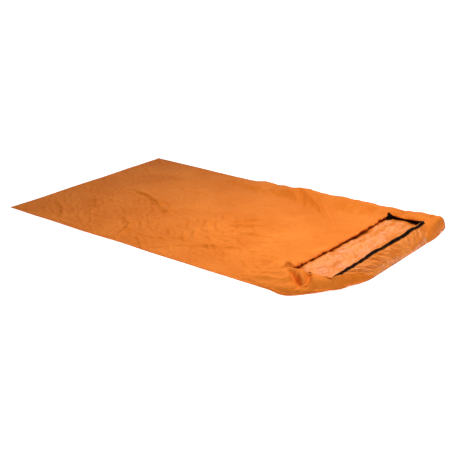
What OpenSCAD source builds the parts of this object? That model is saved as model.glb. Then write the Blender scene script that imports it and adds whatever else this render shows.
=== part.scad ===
// Two-person bivy sack laid flat on the ground, mouth open, its head collar rolled up.
// Millimetres. +X runs along the sack towards the head, +Y across it, +Z up.
// The origin is the middle of the box that the laid sack fills, on the ground.

/* [Sack] */
// Length from the foot seam to the outside of the rolled head collar
laid_length = 2112; // [2060:2:2200]
// Width across the two side seams
sack_width = 1250; // [1240:2:1300]
// Modelled thickness of one layer of cloth
cloth = 2; // [1.5:0.5:2.5]
// Height of the air left between the two sheets
loft = 10; // [8:1:14]
// Width of the sewn seam allowance at the sides and foot
seam_width = 12; // [8:1:16]

/* [Mouth] */
// Distance from the head fold back to the line where the top sheet starts to lift
lift_back = 452; // [440:2:470]
// Length of the lifting part of the top sheet, from that line to its rim
rim_reach = 130; // [120:2:140]
// Height of the lifted rim at the near side
rim_near_height = 32; // [26:1:40]
// Height of the lifted rim at the far side
rim_far_height = 48; // [40:1:54]
// Height of the collar's rim at its near corner
collar_near_height = 56; // [50:1:62]
// Height of the collar's rim at its far corner
collar_far_height = 68; // [60:1:74]
// Distance from the head fold to the collar's rolled-back rim
collar_reach = 88; // [80:1:96]
// How far the rolled collar swells beyond a straight slope
collar_bulge = 30; // [22:1:34]

/* [Tapes] */
// Width of the hook-and-loop closure tape
tape_width = 25; // [20:1:30]
// Thickness of the closure tape
tape_thickness = 2; // [1:0.5:3]
// Width of the bound hem on the head rim
head_hem_width = 6; // [4:1:9]
// Width of the gathered hem on the top sheet's rim
top_hem_width = 15; // [10:1:20]

/* [Hidden] */

fabric_orange = "#EB8235";
hem_orange = "#F09A55";
seam_orange = "#D06A20";
tape_black = "#16100E";

head_x = laid_length / 2;         // outside of the head fold
side_y = sack_width / 2;          // outside of each side seam
lift_x = head_x - lift_back;      // line where the top sheet starts to lift
gap = 0.4;                        // air between separate pieces that lie together
flat_top = loft + 2 * cloth;      // top face of the flat part of the top sheet
tape_gap = 0.8;                   // air under the tapes that follow the side walls
wall_foot = 2 * cloth + 0.5;      // outer foot of the collar, just clear of the bottom sheet
step = 3;                         // air between neighbouring panels at their ends
rim_x = head_x - collar_reach;    // rim of the rolled-back head collar
side_bulge = 14;                  // swell of the broad side slopes
panel_bulge = 5;                  // swell of the lifting panel
rows = 6;                         // facets across every curved panel

// A station is [point on the outline, point on the rim, swell between the two].
near_collar_stations = [
  [[lift_x + 4, -side_y, flat_top - cloth], [lift_x + 4, -side_y + 63, flat_top], 0],
  [[lift_x + 136, -side_y, wall_foot], [lift_x + 134, -424, 34], side_bulge],
  [[lift_x + 246, -side_y, wall_foot], [lift_x + 246, -440, 50], side_bulge],
  [[head_x - 131, -535, wall_foot], [rim_x - 56, -450, 54], side_bulge],
  [[head_x - 88, -468, wall_foot], [rim_x - 22, -446, collar_near_height], 8]];

near_gusset_stations = [
  [[head_x - 82, -458, wall_foot], [rim_x - 16, -449, collar_near_height], 8],
  [[head_x - 52, -390, wall_foot], [rim_x - 12, -455, collar_near_height], 12],
  [[head_x - 32, -320, wall_foot], [rim_x - 8, -459, collar_near_height], 18],
  [[head_x - 11, -250, wall_foot], [rim_x - 4, -461, collar_near_height], 24],
  [[head_x - 1, -207, wall_foot], [rim_x, -461, collar_near_height], collar_bulge - 2]];

far_collar_stations = [
  [[lift_x + 4, side_y, flat_top - cloth], [lift_x + 4, side_y - 48, flat_top], 0],
  [[lift_x + 153, side_y, wall_foot], [lift_x + 153, 466, 50], side_bulge],
  [[lift_x + 246, side_y, wall_foot], [lift_x + 238, 428, 60], side_bulge + 2],
  [[head_x - 126, side_y, wall_foot], [rim_x - 63, 408, collar_far_height - 2], side_bulge + 4]];

far_gusset_stations = [
  [[head_x - 120, side_y, wall_foot], [rim_x - 57, 406, collar_far_height - 2], side_bulge + 4],
  [[head_x - 51, 590, wall_foot], [rim_x - 33, 400, collar_far_height - 1], 20],
  [[head_x - 14, 500, wall_foot], [rim_x - 18, 396, collar_far_height], 24],
  [[head_x - 2, 400, wall_foot], [rim_x - 8, 394, collar_far_height], collar_bulge - 2],
  [[head_x, 332, wall_foot], [rim_x - 4, 393, collar_far_height], collar_bulge]];

flap_near = [[head_x, -200, wall_foot], [rim_x, -432, collar_near_height], collar_bulge];
flap_far = [[head_x, 326, wall_foot], [rim_x, 388, collar_far_height], collar_bulge];
flap_stations = between(flap_near, flap_far, 6);

panel_near = [[lift_x + 4, -side_y + 63 + step, flat_top],
  [lift_x + rim_reach, -424 + step, rim_near_height], panel_bulge];
panel_far = [[lift_x + 4, side_y - 48 - step, flat_top],
  [lift_x + rim_reach + 4, 466 - step, rim_far_height], panel_bulge];
panel_stations = between(panel_near, panel_far, 8);

function between(a, b, n) = [for (i = [0:n]) a + (b - a) * (i / n)];

// The same stations with n steps from each to the next.
function refined(st, n) = concat([st[0]],
  [for (k = [0:len(st) - 2]) for (i = [1:n]) st[k] + (st[k + 1] - st[k]) * (i / n)]);

// Point on a station's section: t runs from the outline to the rim,
// and lift stands the point off the section.
function section(st, t, lift) =
  let (o = st[0], d = st[1] - st[0], run = norm([d.x, d.y]),
       out = [-d.x, -d.y, 0] / run,
       normal = (out * d.z + [0, 0, run]) / norm(d))
  o + d * t + normal * (st[2] * 4 * t * (1 - t) + lift);

// The part of t that a strip of this width takes at a station.
function share(st, width) = width / norm(st[1] - st[0]);

// A closed skin over the stations, between two fractions of their sections.
// from and to are fractions plus a width in millimetres: [fraction, width].
module skin(stations, from, to, low, high) {
  n = len(stations);
  m = rows + 1;
  points = [for (lift = [high, low]) for (st = stations) for (j = [0:rows])
    let (a = from[0] + share(st, from[1]), b = to[0] + share(st, to[1]))
    section(st, a + (b - a) * j / rows, lift)];
  function id(side, i, j) = (side * n + i) * m + j;
  function quad(a, b, c, d) = [[a, b, c], [a, c, d]];
  faces = concat(
    [for (i = [0:n - 2]) for (j = [0:rows - 1])
      each quad(id(0, i, j), id(0, i + 1, j), id(0, i + 1, j + 1), id(0, i, j + 1))],
    [for (i = [0:n - 2]) for (j = [0:rows - 1])
      each quad(id(1, i, j + 1), id(1, i + 1, j + 1), id(1, i + 1, j), id(1, i, j))],
    [for (i = [0:n - 2])
      each quad(id(0, i + 1, 0), id(0, i, 0), id(1, i, 0), id(1, i + 1, 0))],
    [for (i = [0:n - 2])
      each quad(id(0, i, rows), id(0, i + 1, rows), id(1, i + 1, rows), id(1, i, rows))],
    [for (j = [0:rows - 1])
      each quad(id(0, 0, j), id(0, 0, j + 1), id(1, 0, j + 1), id(1, 0, j))],
    [for (j = [0:rows - 1])
      each quad(id(0, n - 1, j + 1), id(0, n - 1, j), id(1, n - 1, j), id(1, n - 1, j + 1))]);
  polyhedron(points = points, faces = faces, convexity = 6);
}

// The same skin turned right side out where the stations run the other way round.
module skin_reversed(stations, from, to, low, high)
  skin([for (i = [len(stations) - 1:-1:0]) stations[i]], from, to, low, high);

// Flat outline of the bottom sheet: square at the foot, with two soft corners at the head.
module bottom_outline() polygon([
  [-head_x + seam_width + gap, -side_y + seam_width + gap],
  [lift_x, -side_y + seam_width + gap], [lift_x + 4, -side_y],
  [head_x - 204, -side_y], [head_x - 133, -535], [head_x - 90, -468],
  [head_x - 55, -390], [head_x - 36, -318], [head_x - 16, -248], [head_x - 6, -200],
  [head_x - 6, 330], [head_x - 9, 398], [head_x - 20, 498], [head_x - 56, 586],
  [head_x - 122, side_y], [lift_x + 4, side_y], [lift_x, side_y - seam_width - gap],
  [-head_x + seam_width + gap, side_y - seam_width - gap]]);

// Groundsheet, from the foot seam to the head fold
module bottom_sheet() color(fabric_orange) linear_extrude(cloth) bottom_outline();

// Cover, from the foot seam to the line where it starts to lift
module top_sheet() color(fabric_orange)
  translate([-head_x + seam_width + gap, -side_y + seam_width + gap, cloth + loft])
    cube([lift_x + head_x - seam_width - 2 * gap, 2 * (side_y - seam_width - gap), cloth]);

module side_seam(side) color(seam_orange)
  translate([-head_x, side < 0 ? -side_y : side_y - seam_width, 0])
    cube([head_x + lift_x, seam_width, flat_top]);

module near_side_seam() side_seam(-1);
module far_side_seam() side_seam(1);

module foot_seam() color(seam_orange)
  translate([-head_x, -side_y + seam_width + gap, 0])
    cube([seam_width, 2 * (side_y - seam_width - gap), flat_top]);

// Low crumpled wall of the collar at the near side of the mouth
module near_collar() color(fabric_orange)
  skin(refined(near_collar_stations, 4), [0, 0], [1, 0], -cloth, 0);

module near_corner_gusset() color(fabric_orange)
  skin(near_gusset_stations, [0, 0], [1, 0], -cloth, 0);

// Broad raised ridge of the collar at the far side of the mouth
module far_collar() color(fabric_orange)
  skin_reversed(refined(far_collar_stations, 3), [0, 0], [1, 0], -cloth, 0);

module far_corner_gusset() color(fabric_orange)
  skin_reversed(far_gusset_stations, [0, 0], [1, 0], -cloth, 0);

// Closure tape sewn round the outside of the collar's rim
module loop_tape_near() color(tape_black)
  skin(refined([for (i = [1:4]) near_collar_stations[i]], 4),
    [1, -tape_width], [1, 0], tape_gap, tape_gap + tape_thickness);

module loop_tape_far() color(tape_black)
  skin_reversed(refined([for (i = [1:3]) far_collar_stations[i]], 3),
    [1, -tape_width], [1, 0], tape_gap, tape_gap + tape_thickness);

// Part of the cover that lifts to open the mouth
module top_rim_panel() color(fabric_orange)
  skin_reversed(panel_stations, [0, 0], [1, -gap], -cloth, 0);

module top_rim_hem() color(hem_orange)
  skin_reversed(panel_stations, [1, 0], [1, top_hem_width], -cloth, 0.5);

// Mating closure tape under the lifting rim
module hook_tape_top() color(tape_black)
  skin_reversed(panel_stations, [1, -tape_width], [1, 0],
    -cloth - gap - tape_thickness, -cloth - gap);

// End of the groundsheet, rolled up and back over the head fold
module head_flap() color(fabric_orange)
  skin(flap_stations, [0, 0], [1, -gap], -cloth, 0);

module head_rim_hem() color(hem_orange)
  skin(flap_stations, [1, 0], [1, head_hem_width], -cloth, 0.5);

module loop_tape_head() color(tape_black)
  skin(flap_stations, [1, -tape_width], [1, -gap], gap, gap + tape_thickness);

bottom_sheet();
top_sheet();
near_side_seam();
far_side_seam();
foot_seam();
near_collar();
near_corner_gusset();
far_collar();
far_corner_gusset();
loop_tape_near();
loop_tape_far();
top_rim_panel();
top_rim_hem();
hook_tape_top();
head_flap();
head_rim_hem();
loop_tape_head();
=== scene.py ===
import math
from collections import namedtuple

import bpy
import numpy as np
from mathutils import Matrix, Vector


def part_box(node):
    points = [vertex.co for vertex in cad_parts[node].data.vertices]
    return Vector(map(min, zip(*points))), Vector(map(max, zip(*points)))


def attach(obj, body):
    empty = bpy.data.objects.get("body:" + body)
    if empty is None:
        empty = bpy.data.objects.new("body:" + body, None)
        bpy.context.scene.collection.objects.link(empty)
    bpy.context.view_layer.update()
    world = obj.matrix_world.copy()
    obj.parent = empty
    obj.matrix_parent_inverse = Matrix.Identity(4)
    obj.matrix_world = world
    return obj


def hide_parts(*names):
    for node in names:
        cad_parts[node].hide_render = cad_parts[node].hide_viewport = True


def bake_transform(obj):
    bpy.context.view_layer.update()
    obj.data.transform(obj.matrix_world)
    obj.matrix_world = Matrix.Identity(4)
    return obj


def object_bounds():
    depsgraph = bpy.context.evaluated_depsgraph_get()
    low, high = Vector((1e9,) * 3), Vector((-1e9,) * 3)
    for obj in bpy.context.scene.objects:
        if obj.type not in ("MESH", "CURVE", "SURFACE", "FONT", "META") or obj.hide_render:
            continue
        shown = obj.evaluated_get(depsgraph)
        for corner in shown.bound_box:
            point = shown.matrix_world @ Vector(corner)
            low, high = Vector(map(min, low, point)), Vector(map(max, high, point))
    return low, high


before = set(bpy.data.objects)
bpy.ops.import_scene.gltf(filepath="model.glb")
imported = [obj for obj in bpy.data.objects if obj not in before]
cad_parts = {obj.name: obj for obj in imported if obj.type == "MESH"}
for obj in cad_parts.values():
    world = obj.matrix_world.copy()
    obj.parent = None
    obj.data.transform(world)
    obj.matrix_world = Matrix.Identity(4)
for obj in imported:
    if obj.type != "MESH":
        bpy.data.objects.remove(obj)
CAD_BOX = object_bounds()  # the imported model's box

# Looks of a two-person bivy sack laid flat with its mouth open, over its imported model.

# ---------------------------------------------------------------- places from the CAD model

FOOT_X, HEAD_X = CAD_BOX[0].x, CAD_BOX[1].x  # foot seam and outside of the head fold
SIDE_Y = CAD_BOX[1].y  # outside of the side seams
LIFT_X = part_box("top_rim_panel")[0].x  # line where the top sheet starts to lift
RIM_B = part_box("head_flap")[0].x  # rim of the rolled-back head flap

# ---------------------------------------------------------------- small maths


def unit(v):
    """Vectors brought to a length of 1."""
    return v / np.maximum(np.linalg.norm(v, axis=-1, keepdims=True), 1e-12)


def smooth_line(keys, values, at):
    """A smooth curve through the values at the keys, read at other places."""
    k, v, x = np.asarray(keys, float), np.asarray(values, float), np.asarray(at, float)
    steep = np.diff(v, axis=0) / np.diff(k)[:, None]
    m = np.empty_like(v)
    m[0], m[-1] = steep[0], steep[-1]
    m[1:-1] = (steep[:-1] + steep[1:]) / 2
    i = np.clip(np.searchsorted(k, x, side="right") - 1, 0, len(k) - 2)
    h = (k[i + 1] - k[i])[:, None]
    t = ((x - k[i]) / (k[i + 1] - k[i]))[:, None]
    a, b = 2 * t**3 - 3 * t**2 + 1, t**3 - 2 * t**2 + t
    c, d = -2 * t**3 + 3 * t**2, t**3 - t**2
    return a * v[i] + b * h * m[i] + c * v[i + 1] + d * h * m[i + 1]


def between(a, b, t):
    """a where t is 0, b where it is 1, and the straight way between."""
    return np.asarray(a) * (1 - t) + np.asarray(b) * t


def ramp(x, low, high):
    """0 below low, 1 above high, smooth between."""
    t = np.clip((np.asarray(x, float) - low) / (high - low), 0, 1)
    return t * t * (3 - 2 * t)


def hashed(ix, iy, salt):
    """A fixed pseudo-random number from 0 to 1 for each cell."""
    n = ix.astype(np.int64) * 374761393 + iy.astype(np.int64) * 668265263 + salt * 69069 + 12345
    n = (n ^ (n >> 13)) * 1274126177
    n = n ^ (n >> 16)
    return (n & 0xFFFFFF).astype(float) / 0xFFFFFF


def noise(x, y, size, salt=0):
    """Smooth noise from -1 to 1 whose lumps are about size across."""
    u, v = np.asarray(x) / size, np.asarray(y) / size
    iu, iv = np.floor(u), np.floor(v)
    fu, fv = u - iu, v - iv
    total = 0.0
    for du in (0, 1):
        for dv in (0, 1):
            angle = hashed(iu + du, iv + dv, salt) * 2 * math.pi
            dot = np.cos(angle) * (fu - du) + np.sin(angle) * (fv - dv)
            wu, wv = 1 - abs(fu - du), 1 - abs(fv - dv)
            total = total + dot * (wu**3 * (wu * (wu * 6 - 15) + 10)) * (
                wv**3 * (wv * (wv * 6 - 15) + 10))
    return total * 1.5


def facets(x, y, size, salt=0):
    """Height of crumpled cloth: cones that meet in sharp creases, from 0 to about 1."""
    u, v = np.asarray(x) / size, np.asarray(y) / size
    iu, iv = np.floor(u), np.floor(v)
    best = np.full(np.shape(u), 9.0)
    for du in (-1, 0, 1):
        for dv in (-1, 0, 1):
            cu, cv = iu + du, iv + dv
            px = cu + 0.1 + 0.8 * hashed(cu, cv, salt + 1)
            py = cv + 0.1 + 0.8 * hashed(cu, cv, salt + 2)
            best = np.minimum(best, np.hypot(px - u, py - v))
    return best


# ---------------------------------------------------------------- shape of the laid shell

CELL = 0.010  # spacing of the simulated cloth's points
STEP = CELL / 2  # spacing of the finished cloth's points
SEAM_Z = 0.003  # height of the sewn outline above the ground
LIFT_Z = 0.013  # height of the top sheet where it starts to lift
TOP_Z = CAD_BOX[1].z + 0.006  # the cloth stands no higher than this
SOFT_TOP = 0.012  # depth below TOP_Z in which high folds are pressed down
SEAM_CELLS = 3  # cells beside the outline over which wrinkles fade out

# Lengths of cloth that each block of the grid is made for.
LIFT_RUN, MOUTH_RUN, FLAP_RUN = 0.140, 0.225, 0.130  # to rim A, on to rim B, and up the flap
NEAR_RUN, MIDDLE_RUN, FAR_RUN = 0.200, 0.890, 0.160  # near wall, between the walls, far wall

# Stations round the mouth: place along it, outline point, rim point, swell of the slope between.
NEAR_WALL = [
    (0.0, (LIFT_X + 0.134, -SIDE_Y), (LIFT_X + 0.128, -0.424, 0.034), 0.01),
    (0.5, (LIFT_X + 0.244, -SIDE_Y), (LIFT_X + 0.242, -0.44, 0.048), 0.012),
    (0.8, (HEAD_X - 0.131, -0.537), (RIM_B - 0.05, -0.448, 0.053), 0.012),
    (1.0, (HEAD_X - 0.084, -0.462), (RIM_B - 0.004, -0.441, 0.056), 0.008),
]
FAR_RIDGE = [
    (0.0, (LIFT_X + 0.152, SIDE_Y), (LIFT_X + 0.149, 0.468, 0.055), 0.034),
    (0.5, (LIFT_X + 0.262, SIDE_Y + 0.004), (LIFT_X + 0.245, 0.456, 0.056), 0.04),
    (0.8, (HEAD_X - 0.11, SIDE_Y + 0.004), (RIM_B - 0.05, 0.456, 0.06), 0.041),
    (1.0, (HEAD_X - 0.052, SIDE_Y - 0.004), (RIM_B + 0.002, 0.456, 0.064), 0.042),
]
NEAR_CORNER, FAR_CORNER = (HEAD_X - 0.046, -0.372), (HEAD_X - 0.026, 0.575)
FLAP_NEAR, FLAP_FAR = (HEAD_X - 0.001, -0.205), (HEAD_X, 0.335)
FLAP_SWELL = 0.019  # how far the roll swells out
RIM_A_NEAR, RIM_A_FAR = NEAR_WALL[0][2], FAR_RIDGE[0][2]
RIM_B_NEAR, RIM_B_FAR = NEAR_WALL[-1][2], FAR_RIDGE[-1][2]
RIM_A_DIP = 0.012  # how far rim A sags between its ends
RIM_B_RISE = 0.006  # how far rim B rises between its ends
FAR_ROLL = 0.038  # how far the cloth stands up beside the far seam, at the mouth
CORNER_BOW = 0.012  # how far the outline bows out beside a corner's tip
NEAR_LOFT, FAR_LOFT = 0.008, 0.036  # how far the corners puff up

# Folds in the laid cloth: points along the fold, height and half width.
# A height below 0 is a valley.
FOLDS = [
    ([(-0.78, 0.03), (-0.7, 0.04), (-0.55, 0.0), (-0.33, -0.12), (-0.25, -0.16)], 0.012, 0.035),
    ([(-0.74, -0.03), (-0.56, -0.06), (-0.36, -0.18)], -0.006, 0.04),
    ([(-0.46, -0.33), (-0.34, -0.4), (-0.29, -0.47), (-0.27, -0.58)], 0.012, 0.032),
    ([(-0.93, -0.38), (-0.8, -0.46), (-0.7, -0.56)], 0.009, 0.028),
    ([(-0.8, -0.2), (-0.68, -0.32), (-0.62, -0.46)], 0.008, 0.03),
    ([(0.08, 0.54), (0.19, 0.53), (0.34, 0.43), (0.5, 0.28)], 0.017, 0.034),
    ([(0.03, 0.52), (0.12, 0.5), (0.2, 0.44)], 0.01, 0.028),
    ([(-0.05, 0.2), (-0.03, 0.4), (0.0, 0.6)], 0.004, 0.018),
    ([(0.55, -0.47), (0.575, -0.39), (0.57, -0.29)], 0.009, 0.026),
    ([(0.47, -0.52), (0.52, -0.42), (0.5, -0.3)], 0.006, 0.026),
    ([(0.6, -0.52), (0.7, -0.5), (0.76, -0.48)], 0.007, 0.02),
    ([(0.62, -0.46), (0.69, -0.42)], 0.007, 0.016),
    ([(0.56, -0.57), (0.66, -0.56), (0.78, -0.545)], 0.006, 0.016),
    ([(-0.1, -0.46), (0.06, -0.36), (0.2, -0.2), (0.36, -0.06)], 0.007, 0.03),
    ([(0.3, -0.44), (0.14, -0.3), (-0.02, -0.14), (-0.12, 0.02)], 0.007, 0.03),
    ([(0.02, -0.5), (0.16, -0.42), (0.28, -0.34)], 0.007, 0.022),
    ([(0.1, -0.1), (0.22, -0.02), (0.36, 0.02)], 0.005, 0.024),
    ([(0.38, -0.5), (0.42, -0.4), (0.44, -0.26)], 0.005, 0.022),
    ([(0.7, -0.4), (0.728, -0.428)], 0.022, 0.016),
    ([(0.738, -0.448), (0.8, -0.5), (0.86, -0.545), (0.868, -0.6)], -0.023, 0.016),
    ([(0.775, -0.445), (0.83, -0.49), (0.9, -0.55)], 0.011, 0.016),
    ([(0.835, -0.425), (0.875, -0.5), (0.905, -0.56)], -0.018, 0.012),
    ([(0.865, -0.44), (0.905, -0.5)], 0.008, 0.014),
    ([(0.75, -0.47), (0.79, -0.52), (0.8, -0.57)], 0.01, 0.009),
    ([(0.79, -0.45), (0.815, -0.49)], -0.008, 0.008),
    ([(0.85, -0.555), (0.88, -0.59)], 0.009, 0.01),
    ([(0.915, -0.47), (0.935, -0.53)], 0.008, 0.01),
    ([(0.93, -0.45), (0.985, -0.44)], -0.006, 0.013),
    ([(0.96, 0.545), (0.995, 0.535), (1.035, 0.505)], -0.015, 0.018),
    ([(0.8, 0.56), (0.83, 0.52), (0.85, 0.47)], -0.009, 0.018),
]


def cells(length):
    """The number of cells that a length of cloth is divided into."""
    return max(2, round(length / CELL))


def slope(outer, rim, swell, t):
    """Points up a slope from the outline to the rim, swelling outwards."""
    o = np.column_stack([outer, np.full(len(outer), SEAM_Z)])
    d = rim - o
    run = np.hypot(d[:, 0], d[:, 1])[:, None]
    out = np.column_stack([-d[:, :2] / run, np.zeros(len(d))])
    normal = (out * d[:, 2:] + np.array([0, 0, 1]) * run) / np.linalg.norm(d, axis=1)[:, None]
    t = np.asarray(t)[:, None, None]
    bulge = np.asarray(swell)[None, :, None] * (4 * t * (1 - t)) ** 0.75
    return o[None] + d[None] * t + normal[None] * bulge


def wall(stations, n):
    """Outline points, rim points and swells at n + 1 even places along a wall of the mouth."""
    s, key = np.linspace(0, 1, n + 1), [st[0] for st in stations]
    return (smooth_line(key, [st[1] for st in stations], s),
            smooth_line(key, [st[2] for st in stations], s),
            smooth_line(key, [[st[3]] for st in stations], s)[:, 0])


def level_out(v):
    """Level unit vector at a right angle to v that points towards the head."""
    n = np.array([v[1], -v[0], 0.0]) / max(math.hypot(v[0], v[1]), 1e-9)
    return n if n[0] > 0 else -n


def corner(column, row, point, loft):
    """Fills a collar corner between the column beside rim B and the flap's end row."""
    s = np.linspace(0, 1, len(row))[:, None]
    t = np.linspace(0, 1, len(column))[:, None]
    tip = np.array([point[0], point[1], SEAM_Z])
    start, end = column[0], row[-1]
    low = between(start, tip, s) + CORNER_BOW * 4 * s * (1 - s) * level_out(start - tip)
    far = between(tip, end, t) + CORNER_BOW * 4 * t * (1 - t) * level_out(end - tip)
    puff = loft * 16 * (s * (1 - s))[:, None] * (t * (1 - t))[None]
    s, t = s[:, :, None], t[None]
    return (low[:, None] * (1 - t) + row[:, None] * t + column[None] * (1 - s) + far[None] * s
            - ((1 - s) * (1 - t) * start + (1 - s) * t * column[-1]
               + s * (1 - t) * tip + s * t * end) + puff * np.array([0, 0, 1]))


def shell_grid():
    """The laid shell as a grid of points P[i, j], i from foot to head and j from near to far,
    and the places of its rims in the grid. The mouth's block of cells holds no cloth."""
    n_flat, n_lift, n_mouth, n_flap, n_near, n_mid, n_far = (cells(length) for length in (
        LIFT_X - FOOT_X, LIFT_RUN, MOUTH_RUN, FLAP_RUN, NEAR_RUN, MIDDLE_RUN, FAR_RUN))
    i_lift, i_a = n_flat, n_flat + n_lift
    i_b, i_end = i_a + n_mouth, i_a + n_mouth + n_flap
    j_d, j_c, j_end = n_near, n_near + n_mid, n_near + n_mid + n_far
    P = np.zeros((i_end + 1, j_end + 1, 3))

    y = np.interp(np.arange(j_end + 1), [0, j_d, j_c, j_end],
                  [-SIDE_Y, RIM_A_NEAR[1], RIM_A_FAR[1], SIDE_Y])
    flat = P[: i_lift + 1]
    flat[:, :, 0] = np.linspace(FOOT_X, LIFT_X, n_flat + 1)[:, None]
    flat[:, :, 1] = y[None, :]
    edge = np.minimum(flat[:, :, 0] - FOOT_X, SIDE_Y - abs(flat[:, :, 1]))
    rise = 0.5 * ramp(flat[:, :, 0], FOOT_X, LIFT_X - 0.1) + 0.5
    flat[:, :, 2] = SEAM_Z + (LIFT_Z - SEAM_Z) * rise * ramp(edge, 0, 0.09)
    roll = FAR_ROLL * ramp(flat[:, :, 0], -0.75, 0.55) * ramp(flat[:, :, 1], 0.44, 0.575)
    flat[:, :, 2] += roll * ramp(SIDE_Y - flat[:, :, 1], 0, 0.045)

    near, far = wall(NEAR_WALL, n_mouth), wall(FAR_RIDGE, n_mouth)
    P[i_a:i_b + 1, : j_d + 1] = slope(*near, np.linspace(0, 1, n_near + 1)).transpose(1, 0, 2)
    P[i_a:i_b + 1, j_c:] = slope(*far, np.linspace(1, 0, n_far + 1)).transpose(1, 0, 2)

    s = np.linspace(0, 1, n_mid + 1)[:, None]
    rim_a = between(RIM_A_NEAR, RIM_A_FAR, s)
    rim_a[:, 2:] -= RIM_A_DIP * 4 * s * (1 - s)
    P[i_a, j_d:j_c + 1] = rim_a
    t = np.linspace(0, 1, n_lift + 1)[:, None, None]
    lifted = between(P[i_lift][None], P[i_a][None], t)
    ease = 0.35 * t[..., 0] + 0.65 * t[..., 0] ** 2
    lifted[:, :, 2] = between(P[i_lift][None, :, 2], P[i_a][None, :, 2], ease)
    P[i_lift:i_a + 1] = lifted

    rim_b = between(RIM_B_NEAR, RIM_B_FAR, s)
    rim_b[:, 2:] += RIM_B_RISE * 4 * s * (1 - s)
    P[i_b:, j_d:j_c + 1] = slope(between(FLAP_NEAR, FLAP_FAR, s), rim_b,
                                 np.full(len(s), FLAP_SWELL), np.linspace(1, 0, n_flap + 1))
    P[i_b:, : j_d + 1] = corner(P[i_b, : j_d + 1], P[i_b:, j_d], NEAR_CORNER, NEAR_LOFT)
    P[i_b:, j_c:] = corner(P[i_b, j_c:][::-1], P[i_b:, j_c], FAR_CORNER, FAR_LOFT)[:, ::-1]
    return P, {"lift": i_lift, "a": i_a, "b": i_b, "d": j_d, "c": j_c}


def bridge_mouth(P, at):
    """Lays straight points over the open mouth, so that the grid has no gaps."""
    a, b, d, c = (at[k] for k in "abdc")
    t = np.linspace(0, 1, b - a + 1)[1:-1, None, None]
    P[a + 1:b, d + 1:c] = between(P[a, d + 1:c][None], P[b, d + 1:c][None], t)


def normals_of(P):
    """Unit normals of a grid of points, pointing up and out."""
    return unit(np.cross(np.gradient(P, axis=0), np.gradient(P, axis=1)))


def places(P):
    """Row, column and cells to the nearest side of the grid, for each of its points."""
    i, j = np.meshgrid(*(np.arange(n) for n in P.shape[:2]), indexing="ij")
    return i, j, np.minimum.reduce([i, j, P.shape[0] - 1 - i, P.shape[1] - 1 - j])


def finer(P):
    """The grid with a point added between each pair of neighbours, on a smooth curve."""
    for axis in (0, 1):
        Q = np.moveaxis(P, axis, 0)
        before = np.concatenate([2 * Q[:1] - Q[1:2], Q[:-2]])
        after = np.concatenate([Q[2:], 2 * Q[-1:] - Q[-2:-1]])
        mid = (9 * (Q[:-1] + Q[1:]) - before - after) / 16
        R = np.empty((2 * len(Q) - 1,) + Q.shape[1:])
        R[::2], R[1::2] = Q, mid
        P = np.moveaxis(R, 0, axis)
    return P


def creased(x, y, angle, size, salt):
    """Long sharp-backed folds, from 0 to 1, that run at an angle in degrees."""
    c, d = math.cos(math.radians(angle)), math.sin(math.radians(angle))
    u, v = x * c + y * d, y * c - x * d
    bent = 0.35 * size * noise(x, y, size * 1.5, salt + 5)
    return (1 - abs(noise(u / 2.6, v + bent, size, salt))) ** 3


def folded(x, y):
    """Height that the named folds add at each place."""
    total = np.zeros(np.shape(x))
    for line, height, half in FOLDS:
        pts = np.array(line)
        step = np.linalg.norm(np.diff(pts, axis=0), axis=1)
        start, whole = np.concatenate([[0], np.cumsum(step)]), step.sum()
        best, where = np.full(np.shape(x), 9.0), np.zeros(np.shape(x))
        for k in range(len(step)):
            d = (pts[k + 1] - pts[k]) / step[k]
            u = np.clip((x - pts[k, 0]) * d[0] + (y - pts[k, 1]) * d[1], 0, step[k])
            away = np.hypot(x - pts[k, 0] - u * d[0], y - pts[k, 1] - u * d[1])
            nearer = away < best
            best = np.where(nearer, away, best)
            where = np.where(nearer, (start[k] + u) / whole, where)
        fade = np.clip(4 * where * (1 - where), 0.12, 1) ** 0.5
        reach = half * (0.7 + 0.5 * fade)
        total += height * fade * np.exp(-(best / reach) ** 1.35)
    return total


# ---------------------------------------------------------------- cloth simulation

FRAMES = 12  # length of the simulation
SLACK = 0.005  # spare cloth, as a share of its length
STIFF, BEND = 14.0, 2.0  # how the cloth resists stretching and bending
HOLD_LEVELS = 40  # steps that the hold on the cloth is rounded to
PLATE_HALF, PLATE_Z = 2.0, 0.001  # ground that the cloth settles on
GAP = 0.001  # room left between the cloth and the ground


def grid_cells(P, keep):
    """The points that a grid's kept cells use, and each cell's corners among them."""
    index = np.arange(P.shape[0] * P.shape[1]).reshape(P.shape[:2])
    quads = np.stack([index[:-1, :-1], index[1:, :-1], index[1:, 1:], index[:-1, 1:]], axis=2)
    used, faces = np.unique(quads[keep], return_inverse=True)
    return used, faces.reshape(-1, 4)


def smooth_mesh(name, points, faces):
    """A smoothly shaded mesh."""
    mesh = bpy.data.meshes.new(name)
    mesh.from_pydata(points, [], faces)
    mesh.polygons.foreach_set("use_smooth", np.ones(len(mesh.polygons), bool))
    mesh.update()
    return mesh


def level_square(name, half, height):
    """A level square mesh that reaches half to each side of the origin."""
    return smooth_mesh(name, [(x * half, y * half, height) for x, y in
                              ((-1, -1), (1, -1), (1, 1), (-1, 1))], [(0, 1, 2, 3)])


def add(name, mesh, *materials):
    """A scene object for a mesh."""
    for material in materials:
        mesh.materials.append(material)
    obj = bpy.data.objects.new(name, mesh)
    bpy.context.scene.collection.objects.link(obj)
    return obj


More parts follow.
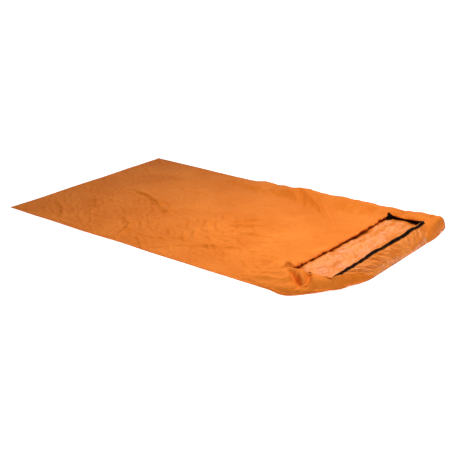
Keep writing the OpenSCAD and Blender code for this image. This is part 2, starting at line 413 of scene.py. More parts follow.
def let_settle(P, keep, hold):
    """Lets a grid of cloth buckle and settle on the ground by cloth simulation, and returns it.
    hold is how firmly each point keeps its place, from 0 to 1."""
    used, faces = grid_cells(P, keep)
    obj = add("cloth", smooth_mesh("cloth", P.reshape(-1, 3)[used].tolist(), faces.tolist()))
    group = obj.vertex_groups.new(name="hold")
    levels = np.round(hold.reshape(-1)[used] * HOLD_LEVELS) / HOLD_LEVELS
    for level in np.unique(levels):
        group.add(np.nonzero(levels == level)[0].tolist(), float(level), "REPLACE")
    plate = add("plate", level_square("plate", PLATE_HALF, PLATE_Z))
    plate.modifiers.new("hit", "COLLISION")
    plate.collision.thickness_outer = GAP
    mod = obj.modifiers.new("cloth", "CLOTH")
    cloth = mod.settings
    cloth.quality, cloth.mass, cloth.air_damping = 4, 0.08, 2.0
    cloth.tension_stiffness = cloth.compression_stiffness = STIFF
    cloth.shear_stiffness, cloth.bending_stiffness = STIFF / 2, BEND
    cloth.tension_damping = cloth.compression_damping = 3.0
    cloth.vertex_group_mass, cloth.pin_stiffness = "hold", 0.6
    cloth.shrink_min = -SLACK
    mod.collision_settings.distance_min = GAP
    mod.collision_settings.use_self_collision = False
    mod.collision_settings.collision_quality = 1
    scene = bpy.context.scene
    scene.gravity = (0, 0, -9.81)
    scene.frame_start, scene.frame_end = 1, FRAMES
    mod.point_cache.frame_start, mod.point_cache.frame_end = 1, FRAMES
    for f in range(1, FRAMES + 1):
        scene.frame_set(f)
    settled = obj.evaluated_get(bpy.context.evaluated_depsgraph_get()).to_mesh()
    points = np.zeros(len(settled.vertices) * 3, np.float32)
    settled.vertices.foreach_get("co", points)
    scene.frame_set(1)
    bpy.data.objects.remove(obj)
    bpy.data.objects.remove(plate)
    Q = P.copy()
    Q.reshape(-1, 3)[used] = points.reshape(-1, 3)
    return Q


def wrinkles(x, y):
    """Height of the chance wrinkles at each place, most of them in the middle of the cover."""
    busy = 0.55 + 0.75 * ramp(np.hypot((x - 0.12) / 0.50, (y + 0.22) / 0.40), 1.1, 0.2)
    turn, other_turn = (ramp(noise(x, y, 0.42, salt), -0.25, 0.35) for salt in (40, 43))
    warp = 0.05 * noise(x, y, 0.22, 12)
    return 1.25 * busy * (0.0055 * noise(x, y, 0.20, 1)
                          + 0.0085 * creased(x, y, -22, 0.130, 2) * turn
                          + 0.0080 * creased(x, y, 38, 0.110, 6) * other_turn
                          + 0.0045 * creased(x, y, -58, 0.080, 8) * (1 - turn)
                          + 0.0110 * (facets(x + warp, y - warp, 0.150, 4) - 0.4)
                          + 0.0060 * (facets(x - warp, y + warp, 0.075, 9) - 0.4))


FOLD_GAIN = 1.7  # how much higher the named folds are laid, since settling lowers them
RIM_SHARE = 0.3  # share of the folds and wrinkles round the mouth
LINE_CELLS = 4  # cells beside the lifting line over which wrinkles fade out
LINE_ENDS = (-0.52, 0.53)  # the lifting line is kept smooth between these
LOWEST = 0.002  # the shell stays this far above the ground while it settles

# How firmly the simulation holds the cloth: the cover, its change towards the mouth, the tall
# folds at the far side and the near wall, the rims of the mouth, and the lifting line.
HOLD_COVER, HOLD_MOUTH, HOLD_FOLDS, HOLD_RIM, HOLD_LINE = 0.12, 0.25, 0.6, 0.85, 0.9


def make_shell():
    """The settled shell as a fine grid, and the places of its rims in that grid."""
    P, at = shell_grid()
    keep = np.ones((P.shape[0] - 1, P.shape[1] - 1), bool)
    keep[at["a"]:at["b"], at["d"]:at["c"]] = False
    bridge_mouth(P, at)
    x, y = P[..., 0].copy(), P[..., 1].copy()
    i, j, edge = places(P)
    rim = (i >= at["a"]) & (i <= at["b"]) & (j >= at["d"]) & (j <= at["c"])
    lift = abs(i - at["lift"])
    lift = np.where((y < LINE_ENDS[0]) | (y > LINE_ENDS[1]), lift + 2 * LINE_CELLS, lift)
    rough = wrinkles(x, y)
    sway = 0.0045 * noise(x, y, 0.26, 90) * ramp(LIFT_X - x, 0, 0.12)
    P[..., 1] += np.sign(y) * sway * ramp(abs(y), 0.45, SIDE_Y)
    P[..., 0] += sway * ramp(x, FOOT_X + 0.15, FOOT_X)
    height = ((FOLD_GAIN * folded(x, y) + rough) * ramp(edge, 0, SEAM_CELLS)
              * np.where(rim, RIM_SHARE, 1) * ramp(lift, 0, LINE_CELLS))
    P += normals_of(P) * height[..., None]
    P[..., 2] = np.maximum(P[..., 2], LOWEST)
    hold = HOLD_MOUTH * ramp(x, LIFT_X - 0.08, LIFT_X + 0.05) + HOLD_COVER
    hold = np.maximum(hold, HOLD_FOLDS * ramp(y, 0.42, 0.55) * ramp(x, -0.7, 0.0))
    hold = np.maximum(hold, HOLD_FOLDS * ramp(x, 0.66, 0.74) * ramp(y, -0.34, -0.40))
    hold = np.maximum(hold, np.where(lift < 1, HOLD_LINE, 0))
    hold = np.where(rim, HOLD_RIM, hold)
    hold = np.where(edge == 0, 1.0, hold)
    P = let_settle(P, keep, hold)
    P[..., 2] = np.maximum(P[..., 2], LOWEST)
    bridge_mouth(P, at)
    return finer(P), {k: 2 * v for k, v in at.items()}


GATHER_REACH = 0.030  # how far the hem's gathers run back into the cover
LOWEST_FACE = 0.0018  # the finished cloth's outer face is no lower than this


def crinkle(P, at):
    """Adds the small creases and puckers that the settled cloth is too coarse to hold."""
    i, j, edge = places(P)
    U, V = i * STEP, j * STEP
    warp = 0.012 * noise(U, V, 0.06, 21)
    small = (0.0012 * (facets(U + warp, V - warp, 0.050, 11) - 0.4)
             + 0.0005 * (facets(U - warp, V + warp, 0.024, 14) - 0.4))
    beside_a = (i <= at["a"]) & (j >= at["d"] - 8) & (j <= at["c"] + 8)
    gathers = np.where(beside_a, np.exp(-abs(i - at["a"]) * STEP / GATHER_REACH), 0)
    gathers = gathers * (0.0048 * noise(U * 0.25, V, 0.016, 31)
                         + 0.0045 * noise(U * 0.3, V, 0.06, 32))
    flap = (i >= at["b"]) & (j >= at["d"]) & (j <= at["c"])
    up = np.clip((i - at["b"]) / (P.shape[0] - 1 - at["b"]), 0, 1)
    tucks = np.where(flap, np.sin(math.pi * np.clip((up - 0.25) * 1.45, 0, 1)), 0)
    tucks = tucks * (0.0095 * noise(U * 0.5, V, 0.052, 33)
                     + 0.0065 * noise(U * 0.6, V, 0.024, 35))
    P = P + normals_of(P) * ((small + tucks) * ramp(edge, 0, SEAM_CELLS) + gathers)[..., None]
    over = np.maximum(P[..., 2] - (TOP_Z - SOFT_TOP), 0)
    P[..., 2] += SOFT_TOP * (1 - np.exp(-over / SOFT_TOP)) - over
    P[..., 2] = np.maximum(P[..., 2], LOWEST_FACE)
    return P


LINE_REACH = 12  # rows on each side of the lifting line that are brought back with it
LINE_NEAR, LINE_FAR = (-0.595, -0.545), (0.560, 0.510)  # where that fades out, towards the seams


def hold_lines(P, at):
    """Brings the cloth back to the line that the top sheet lifts about, so that the parts on
    both sides of the line stay joined as it turns."""
    i, y = at["lift"], P[at["lift"], :, 1]
    share = ramp(y, *LINE_FAR) * ramp(y, *LINE_NEAR)
    away = np.column_stack([LIFT_X - P[i, :, 0], 0 * y, LIFT_Z - P[i, :, 2]]) * share[:, None]
    for k in range(-LINE_REACH, LINE_REACH + 1):
        P[i + k] += away * ramp(LINE_REACH + 1 - abs(k), 0, LINE_REACH + 1)
    return P


# ---------------------------------------------------------------- making pieces

THICK = 0.0008  # thickness of coated cloth at the mouth
LOWEST_STRIP = 0.0002  # seams and tapes come no nearer to the ground than this
STITCH_PITCH, STITCH_HALF, STITCH_RADIUS = 0.0045, 0.0017, 0.00042
STITCH_SIDES = 5
STITCH_RINGS = ((-1, 0.5, -0.0003), (0, 1.0, 0), (1, 0.5, -0.0003))  # along, size, height


class Cloth:
    """The finished shell: its points, their normals, and places read between the points."""

    def __init__(self, P, at):
        self.P, self.N, self.at = P, normals_of(P), at
        self.last = P.shape[0] - 1, P.shape[1] - 1

    def read(self, i, j):
        """Points and normals at real-numbered places in the grid."""
        i, j = np.broadcast_arrays(np.asarray(i, float), np.asarray(j, float))
        i = np.clip(i, 0, self.P.shape[0] - 1.001)
        j = np.clip(j, 0, self.P.shape[1] - 1.001)
        i0, j0 = i.astype(int), j.astype(int)
        u, v = (i - i0)[..., None], (j - j0)[..., None]
        found = []
        for A in (self.P, self.N):
            found.append(A[i0, j0] * (1 - u) * (1 - v) + A[i0 + 1, j0] * u * (1 - v)
                         + A[i0, j0 + 1] * (1 - u) * v + A[i0 + 1, j0 + 1] * u * v)
        return found[0], unit(found[1])

    def panel(self, name, rows, columns, thick, *materials):
        """A piece of the shell over a block of cells, two-faced when thick is above 0."""
        keep = np.zeros(self.last, bool)
        keep[rows[0]:rows[1], columns[0]:columns[1]] = True
        return sheet_piece(name, self.P, self.N, keep, thick, *materials)


def sheet_piece(name, P, N, keep, thick, *materials):
    """Cloth over the kept cells of a grid. Its inner face takes the second material."""
    used, faces = grid_cells(P, keep)
    points, normals = P.reshape(-1, 3)[used], N.reshape(-1, 3)[used]
    finish = np.zeros(len(faces), int)
    if thick:
        count = len(points)
        pairs = np.stack([faces, np.roll(faces, -1, axis=1)], axis=2).reshape(-1, 2)
        order = np.sort(pairs, axis=1)
        _, first, uses = np.unique(order[:, 0] * count + order[:, 1],
                                   return_index=True, return_counts=True)
        rim = pairs[first[uses == 1]]
        sides = np.column_stack([rim[:, 1], rim[:, 0], rim[:, 0] + count, rim[:, 1] + count])
        finish = np.concatenate([finish, finish + 1, np.zeros(len(sides), int)])
        faces = np.concatenate([faces, faces[:, ::-1] + count, sides])
        points = np.concatenate([points, points - thick * normals])
        normals = np.concatenate([normals, -normals])
    mesh = smooth_mesh(name, points.tolist(), faces.tolist())
    mesh.polygons.foreach_set("material_index", finish.astype(np.int32))
    mesh.normals_split_custom_set_from_vertices(normals.tolist())
    return add(name, mesh, *materials)


def skin(name, rings, material):
    """A closed skin round rings of points, with both ends closed."""
    n, m = rings.shape[:2]
    index = np.arange(n * m).reshape(n, m)
    after = np.roll(index, -1, axis=1)
    faces = np.stack([index[:-1], index[1:], after[1:], after[:-1]], axis=2).reshape(-1, 4)
    faces = faces.tolist() + [index[0].tolist(), index[-1][::-1].tolist()]
    return add(name, smooth_mesh(name, rings.reshape(-1, 3).tolist(), faces), material)


def edge_rings(cloth, i, j, inward, profile, swell=None):
    """Rings of a strip along an edge of the cloth. The profile's points are (distance in from
    the edge, height off the cloth); a distance below 0 is past the edge."""
    u, h = np.array(profile).T
    swell = np.ones(len(i)) if swell is None else swell
    deep = np.maximum(u, 0) / STEP
    base, normal = cloth.read(i[:, None] + inward[0] * deep, j[:, None] + inward[1] * deep)
    out = unit(cloth.read(i, j)[0] - cloth.read(i + inward[0], j + inward[1])[0])[:, None]
    rings = (base + normal * (h * swell[:, None])[..., None]
             + out * (np.maximum(-u, 0) * swell[:, None])[..., None])
    rings[..., 2] = np.maximum(rings[..., 2], LOWEST_STRIP)
    return rings


def stitches(name, cloth, i, j, inward, inset, height, material):
    """A row of sewn stitches that runs beside an edge of the cloth."""
    points, normal = cloth.read(i + inward[0] * inset / STEP, j + inward[1] * inset / STEP)
    walked = np.concatenate([[0], np.cumsum(np.linalg.norm(np.diff(points, axis=0), axis=1))])
    where = np.arange(STITCH_PITCH, walked[-1] - STITCH_PITCH, STITCH_PITCH)

    def at_stitches(values, ahead=0.0):
        return np.column_stack([np.interp(where + ahead, walked, values[:, k])
                                for k in range(3)])
    centre, up = at_stitches(points), unit(at_stitches(normal))
    run = unit(at_stitches(points, 0.001) - centre)
    side = np.cross(run, up)
    rings = []
    for reach, size, sink in STITCH_RINGS:
        for turn in range(STITCH_SIDES):
            angle = 2 * math.pi * turn / STITCH_SIDES
            rings.append(centre + run * (reach * STITCH_HALF)
                         + side * (STITCH_RADIUS * size * math.cos(angle))
                         + up * (height + sink + STITCH_RADIUS * size * math.sin(angle)))
    points = np.stack(rings, axis=1)
    ring = np.arange(STITCH_SIDES)
    after = (ring + 1) % STITCH_SIDES
    faces = np.concatenate([
        np.column_stack([ring, ring + STITCH_SIDES, after + STITCH_SIDES, after])
        + k * STITCH_SIDES for k in range(len(STITCH_RINGS) - 1)])
    every = faces[None] + len(rings) * np.arange(len(where))[:, None, None]
    return add(name, smooth_mesh(name, points.reshape(-1, 3).tolist(),
                                 every.reshape(-1, 4).tolist()), material)


# ---------------------------------------------------------------- finishes


class Amount:
    """A number in a finish, held by a shader socket, that takes part in sums."""

    def __init__(self, finish, socket):
        self.finish, self.socket = finish, socket

    def math(self, operation, *others):
        return self.finish.node("ShaderNodeMath", {"operation": operation},
                                dict(enumerate((self, *others))))

    def __add__(self, other):
        return self.math("ADD", other)

    def __mul__(self, other):
        return self.math("MULTIPLY", other)

    def __sub__(self, other):
        return self.math("SUBTRACT", other)

    def __rsub__(self, other):
        return self * -1 + other

    __radd__, __rmul__ = __add__, __mul__


RIPSTOP_PITCH, RIPSTOP_WIDTH = 0.006, 0.0006  # grid of stronger threads in the cloth
WEAVE_PITCH, TWIST_PITCH = 0.0007, 0.0005  # threads of the cloth, and turns of sewing thread


class Finish:
    """A material for one kind of surface, built node by node."""

    def __init__(self, name, **fixed):
        self.material = bpy.data.materials.new(name)
        self.material.use_nodes = True
        self.tree = self.material.node_tree
        self.shader = self.tree.nodes["Principled BSDF"]
        self.place = self.node("ShaderNodeTexCoord", out="Object")
        for words, value in fixed.items():
            self.shader.inputs[words.replace("_", " ")].default_value = value

    def node(self, kind, settings=(), values=(), out=0):
        made = self.tree.nodes.new(kind)
        for key, value in dict(settings).items():
            setattr(made, key, value)
        for key, value in dict(values).items():
            self.feed(made.inputs[key], value)
        return Amount(self, made.outputs[out])

    def feed(self, socket, value):
        if isinstance(value, Amount):
            self.tree.links.new(value.socket, socket)
        else:
            socket.default_value = value

    def noise(self, size, detail=2.0, twist=0.0, where=None):
        """Cloudy noise from 0 to 1 whose lumps are about size across."""
        return self.node("ShaderNodeTexNoise", values={
            "Vector": where or self.place, "Scale": 1 / size, "Detail": detail,
            "Distortion": twist})

    def creases(self, size):
        """0 along the creases of crumpled cloth and rising away from them."""
        lumps = {"Vector": self.place, "Scale": 1 / size}
        near = self.node("ShaderNodeTexVoronoi", {"feature": "F1"}, lumps, "Distance")
        second = self.node("ShaderNodeTexVoronoi", {"feature": "F2"}, lumps, "Distance")
        return second - near

    def turns(self, axis, pitch):
        """Distance along an axis, counted in pitches."""
        return self.node("ShaderNodeSeparateXYZ", (), {0: self.place}, axis) * (1 / pitch)

    def ripstop(self):
        """1 on the grid of stronger threads."""
        lines = [self.turns(axis, RIPSTOP_PITCH).math("FRACT").math(
            "LESS_THAN", RIPSTOP_WIDTH / RIPSTOP_PITCH) for axis in (0, 1)]
        return lines[0].math("MAXIMUM", lines[1])

    def weave(self, pitch):
        """Small bumps from -1 to 1, one every pitch both ways."""
        waves = [self.turns(axis, pitch / (2 * math.pi)).math("SINE") for axis in (0, 1)]
        return waves[0] * waves[1]

    def blend(self, share, a, b):
        """Colour a where share is 0 and b where it is 1."""
        a, b = (c if isinstance(c, Amount) else (*c, 1) for c in (a, b))
        return self.node("ShaderNodeMix", {"data_type": "RGBA"}, {0: share, 6: a, 7: b}, 2)

    def fade(self, value, low, high):
        """0 below low, 1 above high."""
        return self.node("ShaderNodeMapRange", values={0: value, 1: low, 2: high})

    def done(self, colour, rough, height, relief):
        """Joins colour, roughness and surface relief, in metres, to the shader."""
        self.feed(self.shader.inputs["Base Color"], colour)
        self.feed(self.shader.inputs["Roughness"], rough)
        bump = self.node("ShaderNodeBump", values={
            "Strength": 1.0, "Distance": relief, "Height": height}, out="Normal")
        self.feed(self.shader.inputs["Normal"], bump)
        return self.material


def outer_cloth():
    """Coated orange shell cloth with a fine ripstop grid."""
    f = Finish("outer_cloth", Specular_IOR_Level=0.015)
    grid = f.ripstop()
    crumple = f.creases(0.060) * 0.8 + f.creases(0.030) * 0.25 + f.noise(0.080, 1.5, 0.8) * 0.9
    cloudy = f.fade(f.noise(0.28, 3.0, 0.5), 0.34, 0.68)
    worn = f.fade(f.noise(0.035, 3.0, 0.8), 0.45, 0.75)
    colour = f.blend(cloudy, (0.690, 0.165, 0.014), (0.790, 0.215, 0.026))
    colour = f.blend(worn * 0.30, colour, (0.820, 0.235, 0.034))
    colour = f.blend(grid * 0.16, colour, (0.840, 0.260, 0.045))
    rough = 0.50 + worn * 0.08 - grid * 0.05
    return f.done(colour, rough, crumple + grid * 0.08 + f.weave(WEAVE_PITCH) * 0.03, 0.0014)


def inner_cloth():
    """Shiny coated inside of the cloth, paler and more wrinkled."""
    f = Finish("inner_cloth", Specular_IOR_Level=0.16)
    crumple = f.creases(0.030) + f.creases(0.014) * 0.6 + f.noise(0.040, 4.0, 1.2) * 1.2
    cloudy = f.fade(f.noise(0.10, 3.0, 0.8), 0.38, 0.66)
    colour = f.blend(cloudy, (0.700, 0.180, 0.020), (0.820, 0.245, 0.042))
    colour = f.blend(f.ripstop() * 0.12, colour, (0.860, 0.300, 0.070))
    return f.done(colour, 0.32 + cloudy * 0.10, crumple, 0.0020)


def tape_cloth():
    """Black hook-and-loop tape with a furry face and patches of painted brownish sheen."""
    f = Finish("tape_cloth", Specular_IOR_Level=0.04)
    loops = f.creases(0.0016) + f.noise(0.0030, 3.0, 1.5)
    painted_sheen = f.fade(f.noise(0.020, 3.0, 0.6), 0.50, 0.75)
    # brownish patches are painted sheen standing in for reflected orange light; the tape itself
    # is black
    colour = f.blend(painted_sheen, (0.0045, 0.0018, 0.0012), (0.016, 0.0065, 0.0035))
    return f.done(colour, 0.88 + painted_sheen * 0.08, loops, 0.0007)


def hem_cloth():
    """Doubled cloth of hems and seams, its tone varying in soft patches."""
    f = Finish("hem_cloth", Specular_IOR_Level=0.03)
    puckers = f.noise(0.012, 3.0, 0.8) + f.creases(0.010) * 0.5
    cloudy = f.fade(f.noise(0.050, 3.0, 0.4), 0.36, 0.68)
    colour = f.blend(cloudy, (0.690, 0.160, 0.013), (0.810, 0.215, 0.027))
    return f.done(colour, 0.46 + cloudy * 0.08, puckers + f.weave(WEAVE_PITCH) * 0.03, 0.0013)


def sewing_thread():
    """Bonded orange thread."""
    f = Finish("sewing_thread", Specular_IOR_Level=0.35)
    shade = f.fade(f.noise(0.030, 2.0), 0.40, 0.65)
    colour = f.blend(shade, (0.560, 0.120, 0.018), (0.700, 0.170, 0.030))
    return f.done(colour, 0.55 + shade * 0.10, f.weave(TWIST_PITCH), 0.0002)


# ---------------------------------------------------------------- camera, floor and light

LENS_MM, SENSOR_MM = 70.96, 36.0
CAMERA_AT = (2.9015, -3.669, 1.719)
CAMERA_YAW, CAMERA_PITCH = math.radians(-38.05), math.radians(20.91)
CLIP = (0.05, 2000.0)
SKY = 0.20
SUN, SUN_ANGLE, SUN_FROM = 0.80, math.radians(24), Vector((-0.55, 0.70, 0.62))
LAMP, LAMP_SIZE, LAMP_AT = 34.0, 1.2, (0.66, 0.00, 1.7)  # above the mouth
FLOOR_HALF, FLOOR_Z = 600.0, -0.0006
FLOOR_GLOW = 0.68  # keeps the paper white where the light falls off
WHITE = (1.0, 1.0, 1.0, 1)


def put(name, data, at=(0, 0, 0), facing=None):
    """Puts a camera or light in the scene, turned to face along a direction."""
    obj = bpy.data.objects.new(name, data)
    obj.location = at
    if facing is not None:
        obj.rotation_mode = "QUATERNION"
        obj.rotation_quaternion = facing.to_track_quat("-Z", "Y")
    bpy.context.scene.collection.objects.link(obj)
    return obj


def studio():
    """Camera, white floor, pale sky, a soft sun from behind on the foot side, and a lamp."""
    scene = bpy.context.scene
    lens = bpy.data.cameras.new("camera")
    lens.lens, lens.sensor_width = LENS_MM, SENSOR_MM
    lens.clip_start, lens.clip_end = CLIP
    level = math.cos(CAMERA_PITCH)
    scene.camera = put("camera", lens, CAMERA_AT, Vector((
        math.sin(CAMERA_YAW) * level, math.cos(CAMERA_YAW) * level, -math.sin(CAMERA_PITCH))))

    paper = Finish("floor_paper", Specular_IOR_Level=0.1, Emission_Strength=FLOOR_GLOW,
                   Emission_Color=WHITE)
    grain = paper.noise(0.9, 2.0)
    tint = paper.blend(grain, (0.97, 0.97, 0.97), (0.95, 0.95, 0.95))
    add("floor", level_square("floor", FLOOR_HALF, FLOOR_Z),
                 paper.done(tint, 0.9, grain, 0.0001))

    world = bpy.data.worlds.new("studio")
    world.use_nodes = True
    world.node_tree.nodes["Background"].inputs["Color"].default_value = WHITE
    world.node_tree.nodes["Background"].inputs["Strength"].default_value = SKY
    scene.world = world
    scene.view_settings.view_transform = "Standard"
    sun = bpy.data.lights.new("sun", "SUN")
    sun.energy, sun.angle = SUN, SUN_ANGLE
    put("sun", sun, facing=-SUN_FROM)
    lamp = bpy.data.lights.new("overhead", "AREA")
    lamp.energy, lamp.size = LAMP, LAMP_SIZE
    put("overhead", lamp, LAMP_AT)


# ---------------------------------------------------------------- the sack, piece by piece

Zone = namedtuple("Zone", "side columns body ends")
Rim = namedtuple("Rim", "cloth place inward columns")


def zones(cloth, rows, columns, body, near_ends, far_ends):
    """Splits a moving panel into a near pleat, its middle and a far pleat. The pleats end where
    every point has turned."""
    block = cloth.P[rows[0]:rows[1] + 1]

    def turned(ends):
        start, end = (np.array(p) for p in ends)
        span = end - start
        return ((block - start) @ span / (span @ span)).min(axis=0) >= 1
    free = turned(near_ends) & turned(far_ends)
    mid = [j for j in range(columns[0], columns[1] + 1) if free[j]]
    return [Zone("near", (columns[0], mid[0]), body, near_ends),
            Zone("middle", (mid[0], mid[-1]), body, None),
            Zone("far", (mid[-1], columns[1]), body, far_ends)]


def fix(piece, zone):
    """A piece in a pleat keeps its place, baked into its points; any other piece moves with the
    panel's body.
    """
    if zone.ends:
        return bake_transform(piece)
    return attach(piece, zone.body)


def along(columns):
    """Every place in the grid from the first of two columns, or rows, to the last."""
    return np.linspace(columns[0], columns[1], columns[1] - columns[0] + 1)


def across(start, direction, reach):
    """A pleat's start and end points, level, from a point along a direction."""
    d = np.array(direction) / np.hypot(*direction)
    return (tuple(start), (start[0] + d[0] * reach, start[1] + d[1] * reach, start[2]))


# Profiles of sewn strips: (distance in from the edge, height off the cloth).
SEAM = [(0.012, 0.0001), (0.0115, 0.001), (0.006, 0.0014), (0.001, 0.0012),
        (-0.0007, 0.0002), (-0.0007, -0.0014), (0.0, -0.0025), (0.011, -0.0025)]
WIDE_HEM = [(0.015, 0.0002), (0.0142, 0.0016), (0.009, 0.0024), (0.004, 0.0028),
            (0.0, 0.0026), (-0.003, 0.0008), (-0.0036, -0.0034), (-0.001, -0.0064),
            (0.006, -0.005), (0.014, -0.0018)]
THIN_HEM = [(0.006, 0.0002), (0.0052, 0.0012), (0.0022, 0.0018), (0.0, 0.0016),
            (-0.0024, 0.0004), (-0.0026, -0.0012), (0.0, -0.0026), (0.0052, -0.0018)]
TAPE_ON_TOP = [(0.0058, 0.0006), (0.0062, 0.0028), (0.01, 0.0031), (0.017, 0.0031),
               (0.024, 0.0029), (0.0285, 0.0024), (0.029, 0.0005), (0.017, 0.0002),
               (0.01, 0.0002)]
TAPE_BELOW = [(0.003, -0.0012), (0.01, -0.0012), (0.019, -0.0012), (0.028, -0.0012),
              (0.028, -0.0032), (0.019, -0.0034), (0.01, -0.0034), (0.003, -0.0032)]
NEAR_TAPE = [(-0.0032, -0.0004)] + TAPE_BELOW[1:7] + [(-0.003, -0.0014)]
HOOK_TAPE = [(distance + 0.013, height) for distance, height in TAPE_BELOW]
TAPE_WIDTH, TAPE_THICK = 0.025, 0.002
FAR_TAPE_SAG = 0.012  # how far the far tape hangs down between its ends
FAR_TAPE_FLOOR = 0.003  # the far tape stays this far above the ground

OUTER, INNER, TAPE = outer_cloth(), inner_cloth(), tape_cloth()
HEM, THREAD = hem_cloth(), sewing_thread()


def outline_seams(cloth):
    """Sewn seams along both sides and the foot, with their stitching."""
    last_i, last_j = cloth.last
    run, foot = along((0, last_i)), along((0, last_j))
    edges = [("near_side_seam", run, 0 * run, (0, 1)),
             ("far_side_seam", run, 0 * run + last_j, (0, -1)),
             ("foot_seam", 0 * foot, foot, (1, 0))]
    made = []
    for name, i, j, inward in edges:
        pucker = 1 + 0.30 * noise(i * STEP, j * STEP + 0.5, 0.020, 51)
        strip = skin(name + "_strip", edge_rings(cloth, i, j, inward, SEAM, pucker), HEM)
        sewn = stitches(name + "_stitching", cloth, i, j, inward, 0.0080, 0.0013, THREAD)
        for piece in (strip, sewn):
            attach(piece, "sack")
        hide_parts(name)
        made += [strip, sewn]
    return made


def in_zone(rim, zone):
    """The rows and columns of a rim's points in a zone, and the way in from the rim."""
    j = along((max(zone.columns[0], rim.columns[0]), min(zone.columns[1], rim.columns[1])))
    return 0 * j + rim.place, j, rim.inward


def rim_strip(name, rim, zone, profile, material, gather=0.0):
    """A hem or tape along a rim of a moving panel, over one zone of it."""
    i, j, inward = in_zone(rim, zone)
    swell = 1 + gather * (noise(j * STEP, 0.3, 0.013, 61) + 0.6 * noise(j * STEP, 0.9, 0.030, 63))
    rings = edge_rings(rim.cloth, i, j, inward, profile, swell)
    return fix(skin(f"{name}_{zone.side}", rings, material), zone)


def rim_sewing(name, rim, zone, inset, height):
    """Stitches along a rim of a moving panel, over one zone of it."""
    i, j, inward = in_zone(rim, zone)
    piece = stitches(f"{name}_{zone.side}", rim.cloth, i, j, inward, inset, height, THREAD)
    return fix(piece, zone)


def top_rim(cloth):
    """The part of the top sheet that lifts, its gathered hem and the tape below it."""
    at, last_j = cloth.at, cloth.last[1]
    near = across(RIM_A_NEAR, (-0.720, 0.694), 0.085)
    far = across(RIM_A_FAR, (-0.450, -0.893), 0.085)
    rows, rim = (at["lift"], at["a"]), Rim(cloth, at["a"], (-1, 0), (at["d"], at["c"]))
    for zone in zones(cloth, rows, (0, last_j), "top_rim", near, far):
        panel = cloth.panel(f"rim_{zone.side}_panel", rows, zone.columns, THICK, OUTER, INNER)
        fix(panel, zone)
        on = [rim_strip("gathered_hem", rim, zone, WIDE_HEM, HEM, 0.60),
              rim_strip("hook_tape", rim, zone, HOOK_TAPE, TAPE),
              rim_sewing("gathered_hem_stitching", rim, zone, 0.0125, 0.0022)]
        if zone.side == "middle":
            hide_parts("top_rim_panel")
            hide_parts("top_rim_hem")
            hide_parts("hook_tape_top")


def head_flap(cloth):
    """The head end of the bottom cloth, folded up and back over itself, with hem and tape."""
    at, last_i = cloth.at, cloth.last[0]
    near = across((FLAP_NEAR[0] - 0.004, FLAP_NEAR[1] + 0.0015, SEAM_Z), (-0.935, 0.355), 0.070)
    far = across((FLAP_FAR[0] - 0.002, FLAP_FAR[1] - 0.004, SEAM_Z), (-0.576, -0.818), 0.060)
    rows, rim = (at["b"], last_i), Rim(cloth, at["b"], (1, 0), (at["d"], at["c"]))
    for zone in zones(cloth, rows, rim.columns, "head_collar", near, far):
        # the flap's top face takes the paler, shinier inside finish: its shine is real gloss, and
        # its paler colour is painted light for the bright band beyond the tape
        panel = cloth.panel(f"flap_{zone.side}_panel", rows, zone.columns, THICK, INNER, INNER)
        fix(panel, zone)
        on = [rim_strip("thin_hem", rim, zone, THIN_HEM, HEM, 0.25),
              rim_strip("head_tape", rim, zone, TAPE_ON_TOP, TAPE, 0.03),
              rim_sewing("head_tape_stitching", rim, zone, 0.0070, 0.0030),
              rim_sewing("head_tape_far_stitching", rim, zone, 0.0262, 0.0029)]
        if zone.side == "middle":
            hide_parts("head_flap")
            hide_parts("head_rim_hem")
            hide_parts("loop_tape_head")


def walls(cloth):
    """The gathered cloth at both ends of the mouth, bound and taped along its rims."""
    at, (last_i, last_j) = cloth.at, cloth.last
    a, b, c, d = (at[k] for k in "abcd")
    i = along((a, b))
    curl = 0.3 + 4.2 * np.exp(-((i - a) / (b - a) / 0.09 - 4.6) ** 2)  # one bunch near its middle
    near_tape = skin("near_tape", edge_rings(cloth, i, 0 * i + d, (0, -1), NEAR_TAPE, curl), TAPE)
    near_bind = skin("near_rim_binding", edge_rings(cloth, i, 0 * i + d, (0, -1), THIN_HEM), HEM)
    far_bind = skin("far_rim_binding", edge_rings(cloth, i, 0 * i + c, (0, 1), THIN_HEM), HEM)
    far_tape = hanging_tape(cloth, i, c)
    for piece, name in ((near_tape, "closure_tape"), (far_tape, "closure_tape"),
                        (near_bind, "hem"), (far_bind, "hem")):
        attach(piece, "sack")
    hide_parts("loop_tape_near")
    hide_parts("loop_tape_far")
    parts = [("near_wall", (a, b), (0, d), "near_collar", [near_tape, near_bind]),
             ("far_wall", (a, b), (c, last_j), "far_collar", [far_tape, far_bind]),
             ("near_corner", (b, last_i), (0, d), "near_corner_gusset", []),
             ("far_corner", (b, last_i), (c, last_j), "far_corner_gusset", [])]
    for name, rows, columns, node, on in parts:
        piece = cloth.panel(name + "_cloth", rows, columns, THICK, OUTER, INNER)
        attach(piece, "sack")
        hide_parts(node)


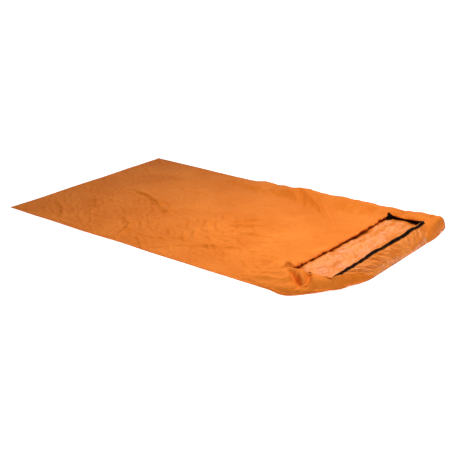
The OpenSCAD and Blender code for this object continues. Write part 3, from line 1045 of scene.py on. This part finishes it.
def hanging_tape(cloth, i, column):
    """The far tape, which hangs from the far rim into the mouth and sags between its ends."""
    rim, _ = cloth.read(i, 0 * i + column)
    s = np.linspace(0, 1, len(i))
    bunch = np.exp(-((s - 0.05) / 0.12) ** 2) + np.exp(-((1 - s) / 0.18) ** 2)
    ripple = 0.0025 * noise(s * 0.25, 0.2, 0.030, 71)
    top = rim + np.column_stack([0 * s, -0.0025 - 0.006 * bunch + ripple,
                                 0.0015 + 0.0045 * bunch - FAR_TAPE_SAG * 4 * s * (1 - s)])
    hang = unit(np.column_stack([0 * s, 0.86 - 1.4 * np.minimum(bunch, 1), -0.50 + 0 * s]))
    top[:, 0] += 0.026 * np.exp(-((1 - s) / 0.16) ** 2)
    thick = (TAPE_THICK * (1 + 3.5 * bunch))[:, None] * np.array([0, 1.0, 0.25])
    drop = TAPE_WIDTH * (1 + 0.35 * bunch)[:, None] * np.array([0, 0.33, 0.67, 1.0])
    front = top[:, None] + hang[:, None] * drop[..., None]
    rings = np.concatenate([front, (front + thick[:, None])[:, ::-1]], axis=1)
    rings[..., 2] = np.maximum(rings[..., 2], FAR_TAPE_FLOOR)
    return skin("far_tape", rings[::-1], TAPE)


COARSE, FINE_ROWS = 8, 24  # below the cover the bottom has every 8th row, up to 24 rows short
BOTTOM_Z = 0.0010  # height of the bottom cloth where it lies flat


def bottom(cloth):
    """The bottom cloth: flat below the cover, crumpled and shiny where the mouth shows it."""
    at, (last_i, last_j) = cloth.at, cloth.last
    fine = at["lift"] - FINE_ROWS
    rows = np.concatenate([np.arange(0, fine, COARSE), np.arange(fine, last_i + 1)])
    s = np.linspace(0, 1, last_j + 1)[:, None]
    B = between(cloth.P[rows, 0][:, None], cloth.P[rows, -1][:, None], s)
    swing = cloth.P[-1] - between(cloth.P[-1, 0], cloth.P[-1, -1], s)
    B += swing[None] * np.clip((rows - at["b"]) / (last_i - at["b"]), 0, 1)[:, None, None]
    x, y = B[..., 0], B[..., 1]
    inside = ramp(y, -0.49, -0.40) * ramp(y, 0.56, 0.48)
    inside = inside * ramp(x, LIFT_X - 0.02, LIFT_X + 0.12) * ramp(last_i - rows, 0, 10)[:, None]
    warp = 0.02 * noise(x, y, 0.09, 81)
    long_folds = noise(x + warp, (y - warp) * 0.35, 0.045, 83)
    fill = (0.003 + 0.014 * ramp(y, 0.22, 0.44) + 0.021 * ramp(x, LIFT_X + 0.02, LIFT_X + 0.20)
            - 0.008 * ramp(x, RIM_B - 0.09, RIM_B))
    crumple = (fill + 0.0075 * ramp(x, LIFT_X + 0.05, LIFT_X + 0.16) * long_folds
               + 0.0035 * noise(x, y, 0.10, 85)
               - 0.0085 * (facets(x * 0.8 + warp, y * 0.8 - x * 0.4, 0.060, 87) - 0.4)
               - 0.0034 * (facets(x - warp, y, 0.028, 90) - 0.4))
    B[..., 2] = BOTTOM_Z + inside * np.maximum(crumple, 0)
    keep = np.ones((B.shape[0] - 1, B.shape[1] - 1), bool)
    piece = sheet_piece("bottom_cloth", B, normals_of(B), keep, 0.0, INNER)
    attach(piece, "sack")
    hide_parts("bottom_sheet")


studio()
shell_points, grid_at = make_shell()
shell = Cloth(hold_lines(crinkle(shell_points, grid_at), grid_at), grid_at)
bottom(shell)
cover = shell.panel("cover_cloth", (0, grid_at["lift"]), (0, shell.last[1]), 0.0, OUTER)
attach(cover, "sack")
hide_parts("top_sheet")
outline_seams(shell)
walls(shell)
top_rim(shell)
head_flap(shell)
